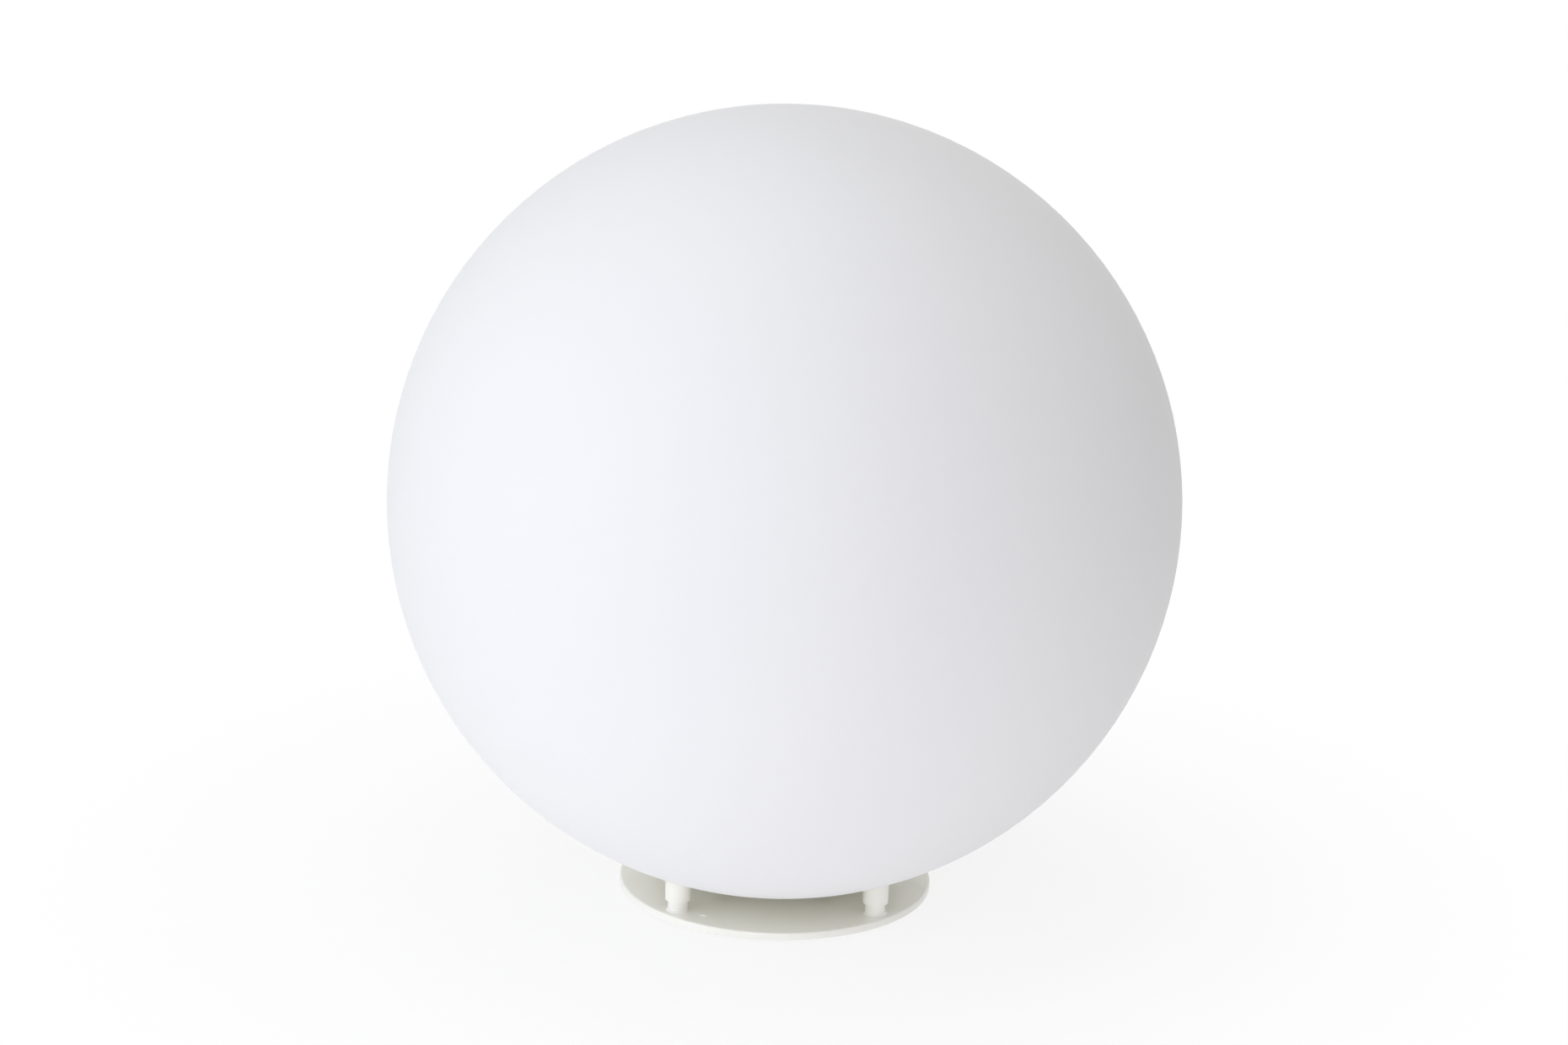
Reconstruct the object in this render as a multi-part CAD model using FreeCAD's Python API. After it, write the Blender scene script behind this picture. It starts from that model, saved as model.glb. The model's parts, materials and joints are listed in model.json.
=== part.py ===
import FreeCAD, Part
import math
import os

# Garden globe light in millimetres, +Z up. The origin is on the ground, under the middle of the foot.
# The globe lifts off a drum that stands on the foot and holds the cells, the lamp and the panel.

# Globe and the ring welded inside its mouth
GLOBE_DIAMETER = 300.0
GLOBE_WALL = 2.5
MOUTH_GAP = 0.4
WELD_GAP = 0.1
FLANGE_WALL = 2.2
FLANGE_WIDTH = 11.0
LEDGE_THICKNESS = 2.5
NECK_WALL = 2.2
NECK_HEIGHT = 9.0
NECK_LEAD_IN = 0.6
GUSSET_COUNT = 8
GUSSET_THICKNESS = 1.6
GUSSET_LENGTH = 7.0
GUSSET_FIRST_ANGLE = 22.5

# Foot plate and its posts
FOOT_DIAMETER = 120.0
FOOT_THICKNESS = 2.8
FOOT_EDGE_ROUND = 0.8
FOOT_LOWER_ROUND = 0.4
POLE_GAP = 1.5
ACCESS_DIAMETER = 24.0
POST_COUNT = 4
POST_INSET = 7.0
FIRST_POST_ANGLE = -43.5
POST_DIAMETER = 8.0
POST_HEIGHT = 8.5
POST_FOOT_ROUND = 0.6
MARK_DIAMETER = 4.0
MARK_DEPTH = 0.3
MARK_ANGLE = -121.0
PAD_DIAMETER = 11.0
PAD_POCKET = 1.0
PAD_PROUD = 0.8
PAD_EDGE = 0.25

# Base cap: a dish as wide as the foot that completes the globe, with sleeves below and a collar above
CAP_WALL = 2.5
CAP_RIM = 1.6
SLEEVE_DIAMETER = 10.0
SLEEVE_GAP = 4.5
SLEEVE_PLAY = 0.15
COLLAR_CLEARANCE = 3.9
COLLAR_WALL = 2.5
COLLAR_ABOVE_NECK = 2.0
NECK_PLAY = 0.6
SEAL_THICKNESS = 1.5
SEAL_EDGE = 1.2
SEAL_COLLAR_GAP = 3.0
SEAL_GAP = 0.3
DRUM_SEAT_HEIGHT = 14.9
COLUMN_DIAMETER = 9.0
COLUMN_CAP = 3.0
RIB_COUNT = 4
RIB_FIRST_ANGLE = 0.0
RIB_THICKNESS = 1.6
RIB_HEIGHT = 9.0

# Spring clips on the collar
CLIP_COUNT = 4
CLIP_FIRST_ANGLE = 45.0
CLIP_WIDTH = 8.0
CLIP_SHEET = 0.5
CLIP_LEG = 8.0
CLIP_REACH = 1.3
RIVET_DIAMETER = 2.4
RIVET_HEAD = 4.0
RIVET_HEAD_HEIGHT = 0.8

# Screws
SCREW_SHANK = 2.9
SCREW_TIP = 0.8
SCREW_HEAD = 5.6
SCREW_HEAD_HEIGHT = 2.2
SCREW_HEAD_SIDE = 1.0
SCREW_HEAD_TOP = 4.2
SCREW_SLOT = 0.8
SCREW_SLOT_LENGTH = 3.4
SCREW_SLOT_DEPTH = 1.2
FOOT_SCREW_LENGTH = 14.0
DRUM_SCREW_LENGTH = 10.0
DECK_SCREW_LENGTH = 10.0
BOARD_SCREW_LENGTH = 6.5
RETAINER_SCREW_LENGTH = 6.0
HOLE_PLAY = 0.25
THREAD_PLAY = 0.05
SEAT_GAP = 0.1
BOSS_DIAMETER = 7.0
EMBED = 1.0
OVERCUT = 0.5
NEAR = 0.01

# Power button under the cap
BUTTON_DIAMETER = 14.0
BUTTON_RECESS = 0.3
BUTTON_EDGE_ROUND = 0.8
BUTTON_DISH = 0.4
BUTTON_DISH_RADIUS = 56.0
BUTTON_FLANGE = 18.0
BUTTON_FLANGE_THICKNESS = 1.2
BUTTON_STEM = 5.0
BUTTON_TRAVEL = 2.0
BUTTON_PLAY = 0.3
STEM_CLEARANCE = 1.3
GUIDE_WALL = 2.0
GUIDE_PLAY = 0.9
GUIDE_HEIGHT = 10.0
RETAINER_THICKNESS = 1.5
RETAINER_SCREW_COUNT = 3
BOSS_OVERLAP = 0.8
BUTTON_SPRING_MEAN = 3.9
BUTTON_SPRING_WIRE = 0.6
BUTTON_SPRING_TURNS = 3
SWITCH_SIZE = 8.5
SWITCH_HEIGHT = 6.0
PLUNGER_DIAMETER = 3.4
PLUNGER_ENTRY = 3.0

# Battery cells and contacts
CELL_DIAMETER = 14.5
CELL_LENGTH = 50.5
CELL_EDGE = 0.6
NUB_DIAMETER = 5.5
NUB_LENGTH = 1.0
CELL_SIDE_PLAY = 0.75
CELL_PLAY = 0.3
CONTACT_SHEET = 0.4
CONTACT_WIDTH = 10.0
CONTACT_PLAY = 0.1
CONTACT_BUMP = 1.2
CONTACT_SPRING_LENGTH = 5.0
CONTACT_SPRING_BASE = 4.2
CONTACT_SPRING_TIP = 2.8
CONTACT_SPRING_WIRE = 0.7
CONTACT_SPRING_TURNS = 3
TAIL_WIDTH = 3.0
TAIL_REACH = 2.5

# Drum
DRUM_DEPTH = 60.0
DRUM_CORNER = 5.0
DRUM_WALL = 2.0
DRUM_SCREW_INSET = 12.5
DRUM_BOSS_HEIGHT = 6.0
SHELF_THICKNESS = 1.0
DOOR_HEADER = 2.2
DOOR_SILL = 0.8

# Battery door
DOOR_MARGIN = 0.25
DOOR_THICKNESS = 1.9
DOOR_PLAY = 0.3
DOOR_LIP = 1.8
DOOR_LIP_WIDTH = 16.0
DOOR_ARM = 2.0
GRIP_COUNT = 4
GRIP_PITCH = 2.2
GRIP_WIDTH = 0.9
GRIP_PROUD = 0.6
KNUCKLE_RADIUS = 2.0
KNUCKLE_LENGTH = 6.0
KNUCKLE_INSET = 7.5
LUG_LENGTH = 4.0
LUG_STEP = 0.5
HINGE_PIN_DIAMETER = 2.0
HINGE_PLAY = 0.05
HINGE_ABOVE_COLLAR = 0.8

# Control board
BOARD_STANDOFF = 7.0
BOARD_THICKNESS = 1.6
BOARD_GAP = 1.5
BOARD_CORNER = 8.0
BOARD_SCREW_EDGE = 3.5
BOARD_BACK_SCREW_X = 12.0
COMPONENT_Y = 2.0
CHIP_LENGTH = 5.0
CHIP_WIDTH = 4.0
CHIP_HEIGHT = 1.5
CHIP_LIFT = 0.2
CHIP_LEGS = 4
CHIP_LEG_WIDTH = 0.4
CHIP_LEG_REACH = 1.0
INDUCTOR_DIAMETER = 9.0
INDUCTOR_HEIGHT = 6.0
INDUCTOR_RIM = 1.1
CAPACITOR_DIAMETER = 8.0
CAPACITOR_HEIGHT = 12.0
CAPACITOR_GROOVE = 0.4
CAPACITOR_GROOVE_WIDTH = 0.8
SOCKET_WIDTH = 6.0
SOCKET_DEPTH = 4.5
SOCKET_HEIGHT = 6.0
SOCKET_HOLE_DEPTH = 2.0
SOCKET_SPACING = 17.0
SOCKET_Y = 16.0
LEAD_PITCH = 2.5

# Deck, lamp and panel
DECK_DIAMETER = 88.0
DECK_THICKNESS = 2.5
DECK_STEP = 1.3
DECK_FIT = 0.3
DECK_SKIRT = 1.5
DECK_RIB_COUNT = 12
DECK_RIB_FIRST_ANGLE = 15.0
DECK_RIB_THICKNESS = 1.4
DECK_COLUMN_LENGTH = 16.0
LED_BOARD_EDGE = 1.2
LED_COUNT = 8
LED_SIZE = 3.5
LED_HEIGHT = 1.2
PHOSPHOR_DIAMETER = 2.6
PHOSPHOR_HEIGHT = 0.3
PEG_COUNT = 4
PEG_DIAMETER = 2.5
PEG_HEAD = 4.0
PEG_HEAD_HEIGHT = 0.8
PANEL_SIZE = 42.0
PANEL_THICKNESS = 2.0
PANEL_CORNER_GAP = 0.9
PANEL_SCREW_GAP = 2.2
PANEL_RIM = 1.2
PANEL_RIM_HEIGHT = 1.6
PANEL_RIM_LENGTH = 26.0
PANEL_BORDER = 1.5
PANEL_STRIPS = 6
STRIP_GAP = 0.5
STRIP_THICKNESS = 0.3
GLAZE_THICKNESS = 0.8
COVER_HEIGHT = 15.0
COVER_WALL = 1.5
COVER_TAPER = 0.8
COVER_SHOULDER = 6.0
COVER_CROWN = 1.5
COVER_GAP = 0.3

# Leads
LEAD_DIAMETER = 1.2
LEAD_HOLE = 6.0
LEAD_INSERT = 1.5
LEAD_RISE = 8.0
LEAD_SPAN = 9.0
LEAD_LEAN = 2.0
LEAD_BEND_SHARE = 0.45
PANEL_EXIT_Y = 14.0
LED_EXIT_INSET = 1.5
LED_EXIT_GAP = 2.7

# Heights and radii that follow from the sizes above
globe_radius = GLOBE_DIAMETER / 2
foot_radius = FOOT_DIAMETER / 2
foot_bottom = PAD_PROUD
foot_top = foot_bottom + FOOT_THICKNESS
pole_z = foot_top + POLE_GAP
centre_z = pole_z + globe_radius
pad_top = PAD_PROUD + PAD_POCKET
foot_screw_seat = pad_top + SEAT_GAP + SCREW_HEAD_HEIGHT
post_radius = foot_radius - POST_INSET
post_top = foot_top + POST_HEIGHT
sleeve_end = foot_top + SLEEVE_GAP

contact_x = (CELL_LENGTH + CONTACT_SPRING_LENGTH + CONTACT_BUMP) / 2 + CONTACT_PLAY
bay_half = contact_x + CONTACT_SHEET + CONTACT_PLAY
drum_half = bay_half + DRUM_WALL
drum_front = -DRUM_DEPTH / 2
drum_back = DRUM_DEPTH / 2
drum_reach = math.hypot(drum_half - DRUM_CORNER, drum_back - DRUM_CORNER) + DRUM_CORNER
boss_radius = BOSS_DIAMETER / 2

cap_radius = foot_radius
dish_radius = globe_radius - CAP_WALL
land_top = centre_z - math.sqrt(globe_radius ** 2 - cap_radius ** 2) + CAP_RIM
ledge_bottom = land_top + SEAL_THICKNESS + SEAL_GAP
ledge_top = ledge_bottom + LEDGE_THICKNESS
neck_top = ledge_bottom + NECK_HEIGHT
collar_inner = drum_reach + COLLAR_CLEARANCE
collar_radius = collar_inner + COLLAR_WALL
collar_top = neck_top + COLLAR_ABOVE_NECK
neck_inner = collar_radius + NECK_PLAY
neck_outer = neck_inner + NECK_WALL
mouth_radius = cap_radius + MOUTH_GAP
seal_outer = cap_radius - SEAL_EDGE
seal_inner = collar_radius + SEAL_COLLAR_GAP
land_inner = seal_inner - SEAL_GAP

drum_bottom = pole_z + DRUM_SEAT_HEIGHT
drum_floor = drum_bottom + DRUM_WALL
drum_screw_seat = drum_bottom - COLUMN_CAP
board_bottom = drum_floor + BOARD_STANDOFF
board_top = board_bottom + BOARD_THICKNESS
hinge_z = collar_top + HINGE_ABOVE_COLLAR + KNUCKLE_RADIUS
opening_bottom = hinge_z + KNUCKLE_RADIUS - DOOR_SILL
bay_floor = opening_bottom - DOOR_SILL
lower_cell_z = bay_floor + CELL_PLAY + CELL_DIAMETER / 2
upper_cell_z = lower_cell_z + CELL_DIAMETER + SHELF_THICKNESS + 2 * CELL_PLAY
opening_top = upper_cell_z + CELL_DIAMETER / 2 + CELL_PLAY
drum_top = opening_top + DOOR_HEADER
deck_top = drum_top + DECK_THICKNESS
bay_front = drum_front + DRUM_WALL
cell_y = bay_front + CELL_SIDE_PLAY + CELL_DIAMETER / 2
bay_back = cell_y + CELL_DIAMETER / 2 + CELL_SIDE_PLAY
partition_back = bay_back + DRUM_WALL
hinge_y = drum_front - DOOR_PLAY - KNUCKLE_RADIUS
door_half = CELL_LENGTH / 2 + DOOR_MARGIN
door_bottom = opening_bottom + DOOR_PLAY
door_top = opening_top - DOOR_PLAY
door_inside = drum_front + DOOR_THICKNESS
knuckle_x = door_half - KNUCKLE_INSET

button_bottom = pole_z + BUTTON_RECESS
flange_bottom = centre_z - math.sqrt(dish_radius ** 2 - (BUTTON_FLANGE / 2) ** 2) + BUTTON_PLAY
flange_top = flange_bottom + BUTTON_FLANGE_THICKNESS
guide_inner = BUTTON_FLANGE / 2 + GUIDE_PLAY
guide_outer = guide_inner + GUIDE_WALL
guide_top = pole_z + GUIDE_HEIGHT
retainer_top = guide_top + RETAINER_THICKNESS
switch_bottom = board_bottom - SWITCH_HEIGHT
plunger_bottom = switch_bottom - BUTTON_TRAVEL - BUTTON_PLAY
plunger_top = switch_bottom + PLUNGER_ENTRY
retainer_screw_radius = guide_outer + SCREW_HEAD / 2 - BOSS_OVERLAP
retainer_radius = retainer_screw_radius + SCREW_HEAD / 2

board_half = bay_half - BOARD_GAP
board_front = partition_back + BOARD_GAP
board_back = drum_back - DRUM_WALL - BOARD_GAP

deck_radius = DECK_DIAMETER / 2
deck_rib_bottom = opening_top + DECK_FIT
ring_outer = deck_radius - COVER_WALL - COVER_GAP - LED_BOARD_EDGE
ring_inner = PANEL_SIZE * math.sqrt(0.5) + PANEL_CORNER_GAP
ring_middle = (ring_inner + ring_outer) / 2
deck_screw_radius = PANEL_SIZE / 2 + PANEL_SCREW_GAP + SCREW_HEAD / 2

BACK_AND_SIDES = (0, 90, 180)


def at(x, y, z):
    return FreeCAD.Vector(x, y, z)


ORIGIN = at(0, 0, 0)
UP = at(0, 0, 1)


def block(x0, x1, y0, y1, z0, z1):
    return Part.makeBox(x1 - x0, y1 - y0, z1 - z0, at(x0, y0, z0))


def rod(radius, z0, z1, x=0.0, y=0.0):
    return Part.makeCylinder(radius, z1 - z0, at(x, y, z0))


def tube(outer, inner, z0, z1, x=0.0, y=0.0):
    return rod(outer, z0, z1, x, y).cut(rod(inner, z0, z1, x, y))


def rounded_block(half_width, y0, y1, z0, z1, corner):
    body = block(-half_width, half_width, y0, y1, z0, z1)
    upright = [edge for edge in body.Edges if abs(edge.tangentAt(edge.FirstParameter).z) > NEAR]
    return body.makeFillet(corner, upright)


def drum_block(grow, z0, z1):
    return rounded_block(drum_half + grow, drum_front - grow, drum_back + grow, z0, z1, DRUM_CORNER + grow)


def circles_at(shape, z):
    return [edge for edge in shape.Edges if edge.Closed and abs(edge.CenterOfMass.z - z) < NEAR]


def across(shape):
    return turned(shape, 90, at(0, 1, 0))


def turned(shape, angle, axis=UP, centre=ORIGIN):
    copy = shape.copy()
    copy.rotate(centre, axis, angle)
    return copy


def moved(shape, x, y, z):
    copy = shape.copy()
    copy.translate(at(x, y, z))
    return copy


def ring_of(shape, count, first_angle=0.0):
    return [turned(shape, first_angle + 360.0 * k / count) for k in range(count)]


def polar(radius, angle):
    return radius * math.cos(math.radians(angle)), radius * math.sin(math.radians(angle))


def fused(first, others):
    return first.multiFuse(others).removeSplitter()


def outline(corners):
    points = [at(x, 0, z) for x, z in corners]
    return Part.Face(Part.makePolygon(points + points[:1]))


def revolved(face):
    return face.revolve(ORIGIN, UP, 360)


def lines_through(corners):
    points = [at(x, 0, z) for x, z in corners]
    return [Part.LineSegment(a, b).toShape() for a, b in zip(points, points[1:])]


def sphere_height(radius, r):
    return centre_z - math.sqrt(radius ** 2 - r ** 2)


def sphere_reach(radius, z):
    return math.sqrt(radius ** 2 - (centre_z - z) ** 2)


def sphere_arc(radius, r0, r1):
    middle = (r0 + r1) / 2
    stations = [at(r, 0, sphere_height(radius, r)) for r in (r0, middle, r1)]
    return Part.Arc(*stations).toShape()


def meridian(radius, r):
    start = at(r, 0, sphere_height(radius, r))
    side = at(radius, 0, centre_z)
    top = at(0, 0, centre_z + radius)
    halfway = radius * math.sqrt(0.5)
    upper = at(halfway, 0, centre_z + halfway)
    lower = at(halfway, 0, centre_z - halfway)
    return [Part.Arc(start, lower, side).toShape(), Part.Arc(side, upper, top).toShape()]


def screw(length):
    shank = SCREW_SHANK / 2
    side = SCREW_HEAD / 2
    profile = outline([(0, -length), (SCREW_TIP / 2, -length), (shank, shank - length), (shank, 0),
                       (side, 0), (side, SCREW_HEAD_SIDE), (SCREW_HEAD_TOP / 2, SCREW_HEAD_HEIGHT),
                       (0, SCREW_HEAD_HEIGHT)])
    slot = block(-SCREW_SLOT_LENGTH / 2, SCREW_SLOT_LENGTH / 2, -SCREW_SLOT / 2, SCREW_SLOT / 2,
                 SCREW_HEAD_HEIGHT - SCREW_SLOT_DEPTH, SCREW_HEAD_HEIGHT)
    return revolved(profile).cut(fused(slot, [turned(slot, 90)]))


def screws_down(length, places, seat_z):
    return Part.makeCompound([moved(screw(length), x, y, seat_z) for x, y in places])


def screws_up(length, places, seat_z):
    upright = turned(screw(length), 180, at(1, 0, 0))
    return Part.makeCompound([moved(upright, x, y, seat_z) for x, y in places])


def rods_at(radius, z0, z1, places):
    return [rod(radius, z0, z1, x, y) for x, y in places]


def pilot_holes(z0, z1, places):
    return rods_at(SCREW_SHANK / 2 + THREAD_PLAY, z0, z1, places)


def free_holes(z0, z1, places):
    return rods_at(SCREW_SHANK / 2 + HOLE_PLAY, z0, z1, places)


def head_holes(z0, z1, places):
    return rods_at(SCREW_HEAD / 2 + HOLE_PLAY, z0, z1, places)


def circle_places(radius, count, first_angle):
    return [polar(radius, first_angle + 360.0 * k / count) for k in range(count)]


def post_places():
    return circle_places(post_radius, POST_COUNT, FIRST_POST_ANGLE)


def retainer_screw_places():
    return circle_places(retainer_screw_radius, RETAINER_SCREW_COUNT, 90)


def drum_screw_places():
    x = drum_half - DRUM_SCREW_INSET
    y = drum_back - DRUM_SCREW_INSET
    return [(x, y), (-x, y), (-x, -y), (x, -y)]


def board_screw_places():
    side = board_half - BOARD_SCREW_EDGE
    front = board_front + BOARD_SCREW_EDGE
    back = board_back - BOARD_SCREW_EDGE
    return [(side, front), (-side, front), (BOARD_BACK_SCREW_X, back), (-BOARD_BACK_SCREW_X, back)]


def deck_screw_places():
    return [polar(deck_screw_radius, angle) for angle in BACK_AND_SIDES]


# Springs follow a helix, drawn as two tangent arcs to each quarter turn

def helix_point(base, tip, turns, length, angle):
    share = angle / (2 * math.pi * turns)
    radius = base + (tip - base) * share
    return at(radius * math.cos(angle), radius * math.sin(angle), length * share)


def helix_tangent(base, tip, turns, length, angle):
    whole = 2 * math.pi * turns
    radius = base + (tip - base) * angle / whole
    slope = (tip - base) / whole
    x = slope * math.cos(angle) - radius * math.sin(angle)
    y = slope * math.sin(angle) + radius * math.cos(angle)
    return at(x, y, length / whole).normalize()


def arc_from(start, tangent, end):
    chord = end - start
    cosine = tangent.dot(chord) / chord.Length
    corner = start + tangent * (chord.Length / (2 * cosine))
    middle = (start + end) * 0.5
    crown = middle + (corner - middle) * (cosine / (1 + cosine))
    return Part.Arc(start, crown, end).toShape()


def two_arcs(start, first, end, last):
    chord = end - start
    both = first + last
    spread = 2 * (1 - first.dot(last))
    along = chord.dot(both)
    reach = (math.sqrt(along ** 2 + spread * chord.dot(chord)) - along) / spread
    joint = (start + end + (first - last) * reach) * 0.5
    corner = start + first * reach
    return [arc_from(start, first, joint), arc_from(joint, (joint - corner).normalize(), end)]


def least_gap(base, tip, turns, length, wire):
    steps = 48
    whole = 2 * math.pi * turns
    angles = [whole * k / (steps * turns) for k in range(steps * turns + 1)]
    points = [helix_point(base, tip, turns, length, angle) for angle in angles]
    half_turn = steps // 2
    pairs = [(a, b) for k, a in enumerate(points) for b in points[k + half_turn:]]
    return min(a.distanceToPoint(b) for a, b in pairs) - wire


def coil(name, base, tip, turns, length, wire):
    rise = length - wire
    edges = []
    for quarter in range(4 * turns):
        a = quarter * math.pi / 2
        b = a + math.pi / 2
        ends = [helix_point(base, tip, turns, rise, angle) for angle in (a, b)]
        ways = [helix_tangent(base, tip, turns, rise, angle) for angle in (a, b)]
        edges += two_arcs(ends[0], ways[0], ends[1], ways[1])
    path = Part.Wire(edges)
    section = Part.Wire(Part.makeCircle(wire / 2, at(base, 0, 0), helix_tangent(base, tip, turns, rise, 0)))
    print(name, "least gap between turns", round(least_gap(base, tip, turns, rise, wire), 2))
    return moved(path.makePipeShell([section], True, False), 0, 0, wire / 2)


# Leads are straight runs joined by tangent arcs

def lead(name, points):
    radii = []
    edges = []
    last = points[0]
    for before, here, after in zip(points, points[1:], points[2:]):
        back = before - here
        ahead = after - here
        half_turn = (math.pi - back.getAngle(ahead)) / 2
        setback = LEAD_BEND_SHARE * min(back.Length, ahead.Length)
        radii.append(setback / math.tan(half_turn))
        start = here + back.normalize() * setback
        end = here + ahead.normalize() * setback
        edges.append(Part.LineSegment(last, start).toShape())
        edges.append(arc_from(start, (here - start).normalize(), end))
        last = end
    edges.append(Part.LineSegment(last, points[-1]).toShape())
    path = Part.Wire(edges)
    section = Part.Wire(Part.makeCircle(LEAD_DIAMETER / 2, points[0], points[1] - points[0]))
    print(name, "bend radii", [round(radius, 1) for radius in radii])
    return path.makePipeShell([section], True, False)


# Globe

def globe_shell():
    inner = globe_radius - GLOBE_WALL
    outside = meridian(globe_radius, mouth_radius)
    inside = meridian(inner, mouth_radius)
    crown = lines_through([(0, centre_z + globe_radius), (0, centre_z + inner)])
    lip = lines_through([(mouth_radius, sphere_height(inner, mouth_radius)),
                         (mouth_radius, sphere_height(globe_radius, mouth_radius))])
    wire = Part.Wire(Part.__sortEdges__(outside + crown + inside + lip))
    return revolved(Part.Face(wire))


def neck_ring():
    under = globe_radius - GLOBE_WALL - WELD_GAP
    over = under - FLANGE_WALL
    foot = sphere_reach(under, ledge_bottom)
    root = sphere_reach(over, ledge_top)
    edge = foot + FLANGE_WIDTH
    bottom = lines_through([(neck_inner + NECK_LEAD_IN, ledge_bottom), (foot, ledge_bottom)])
    side = lines_through([(edge, sphere_height(under, edge)), (edge, sphere_height(over, edge))])
    neck = lines_through([(root, ledge_top), (neck_outer, ledge_top), (neck_outer, neck_top),
                          (neck_inner + NECK_LEAD_IN, neck_top), (neck_inner, neck_top - NECK_LEAD_IN),
                          (neck_inner, ledge_bottom + NECK_LEAD_IN),
                          (neck_inner + NECK_LEAD_IN, ledge_bottom)])
    flange = [sphere_arc(under, foot, edge)]
    upper = [sphere_arc(over, edge, root)]
    body = revolved(Part.Face(Part.Wire(bottom + flange + side + upper + neck)))
    start = neck_outer - NECK_WALL / 2
    web = outline([(start, ledge_top - EMBED), (neck_outer + GUSSET_LENGTH, ledge_top - EMBED),
                   (neck_outer + GUSSET_LENGTH, ledge_top + EMBED), (start, neck_top - EMBED)])
    web = moved(web.extrude(at(0, GUSSET_THICKNESS, 0)), 0, -GUSSET_THICKNESS / 2, 0)
    return fused(body, ring_of(web, GUSSET_COUNT, GUSSET_FIRST_ANGLE))


def neck_seal():
    return tube(seal_outer, seal_inner, land_top, land_top + SEAL_THICKNESS)


# Foot

def foot_plate():
    disc = rod(foot_radius, foot_bottom, foot_top)
    disc = disc.makeFillet(FOOT_EDGE_ROUND, circles_at(disc, foot_top))
    disc = disc.makeFillet(FOOT_LOWER_ROUND, circles_at(disc, foot_bottom))
    places = post_places()
    posts = rods_at(POST_DIAMETER / 2, foot_bottom, post_top, places)
    root = Part.makeCone(POST_DIAMETER / 2 + POST_FOOT_ROUND, POST_DIAMETER / 2, POST_FOOT_ROUND)
    roots = [moved(root, x, y, foot_top) for x, y in places]
    plate = fused(disc, posts + roots)
    holes = [rod(ACCESS_DIAMETER / 2, foot_bottom, foot_top)]
    holes += free_holes(foot_bottom, post_top, places)
    holes += head_holes(foot_bottom, foot_screw_seat, places)
    holes += rods_at(PAD_DIAMETER / 2 + HOLE_PLAY, foot_bottom, pad_top, places)
    holes.append(rod(MARK_DIAMETER / 2, foot_top - MARK_DEPTH, foot_top, *polar(post_radius, MARK_ANGLE)))
    return plate.cut(Part.makeCompound(holes))


def foot_pads():
    pad = rod(PAD_DIAMETER / 2, 0, pad_top)
    pad = pad.makeChamfer(PAD_EDGE, circles_at(pad, 0))
    return Part.makeCompound([moved(pad, x, y, 0) for x, y in post_places()])


def foot_screws():
    return screws_up(FOOT_SCREW_LENGTH, post_places(), foot_screw_seat)


# Base cap

def dish_body():
    hole = BUTTON_DIAMETER / 2 + BUTTON_PLAY
    edges = [sphere_arc(globe_radius, hole, cap_radius)]
    edges += lines_through([(cap_radius, sphere_height(globe_radius, cap_radius)), (cap_radius, land_top),
                            (land_inner, land_top), (land_inner, sphere_height(dish_radius, land_inner))])
    edges.append(sphere_arc(dish_radius, land_inner, collar_radius))
    edges += lines_through([(collar_radius, sphere_height(dish_radius, collar_radius)),
                            (collar_radius, collar_top), (collar_inner, collar_top),
                            (collar_inner, sphere_height(dish_radius, collar_inner))])
    edges.append(sphere_arc(dish_radius, collar_inner, guide_outer))
    edges += lines_through([(guide_outer, sphere_height(dish_radius, guide_outer)),
                            (guide_outer, guide_top), (guide_inner, guide_top),
                            (guide_inner, sphere_height(dish_radius, guide_inner))])
    edges.append(sphere_arc(dish_radius, guide_inner, hole))
    edges += lines_through([(hole, sphere_height(dish_radius, hole)),
                            (hole, sphere_height(globe_radius, hole))])
    return revolved(Part.Face(Part.Wire(edges)))


def cap_columns():
    inside = Part.makeSphere(globe_radius - CAP_WALL / 2, at(0, 0, centre_z))
    columns = rods_at(COLUMN_DIAMETER / 2, pole_z, drum_bottom, drum_screw_places())
    columns += rods_at(SCREW_HEAD / 2, pole_z, guide_top, retainer_screw_places())
    web = block(guide_outer - EMBED, collar_inner + EMBED, -RIB_THICKNESS / 2, RIB_THICKNESS / 2,
                pole_z, pole_z + RIB_HEIGHT)
    columns += ring_of(web, RIB_COUNT, RIB_FIRST_ANGLE)
    return [column.common(inside) for column in columns]


def base_cap():
    posts = post_places()
    sleeves = rods_at(SLEEVE_DIAMETER / 2, sleeve_end, land_top, posts)
    cap = fused(dish_body(), sleeves + cap_columns())
    holes = rods_at(POST_DIAMETER / 2 + SLEEVE_PLAY, sleeve_end, post_top + SEAT_GAP, posts)
    holes += pilot_holes(post_top, foot_screw_seat + FOOT_SCREW_LENGTH + SEAT_GAP, posts)
    holes += head_holes(pole_z, drum_screw_seat, drum_screw_places())
    holes += free_holes(drum_screw_seat, drum_bottom, drum_screw_places())
    retainer_screw_end = retainer_top - RETAINER_SCREW_LENGTH - SEAT_GAP
    holes += pilot_holes(retainer_screw_end, guide_top, retainer_screw_places())
    bore = across(rod(RIVET_DIAMETER / 2 + THREAD_PLAY, collar_inner - EMBED, collar_radius + EMBED))
    holes += ring_of(moved(bore, 0, 0, rivet_z()), CLIP_COUNT, CLIP_FIRST_ANGLE)
    return cap.cut(Part.makeCompound(holes))


# Clips

def strip(route, thickness, width):
    face = mitred([at(r, 0, z) for r, z in route], thickness)
    return moved(face.extrude(at(0, width, 0)), 0, -width / 2, 0)


def rivet_z():
    return collar_top - CLIP_LEG / 2


def clip_face():
    return math.sqrt(collar_inner ** 2 - (CLIP_WIDTH / 2) ** 2) - SEAT_GAP


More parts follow.
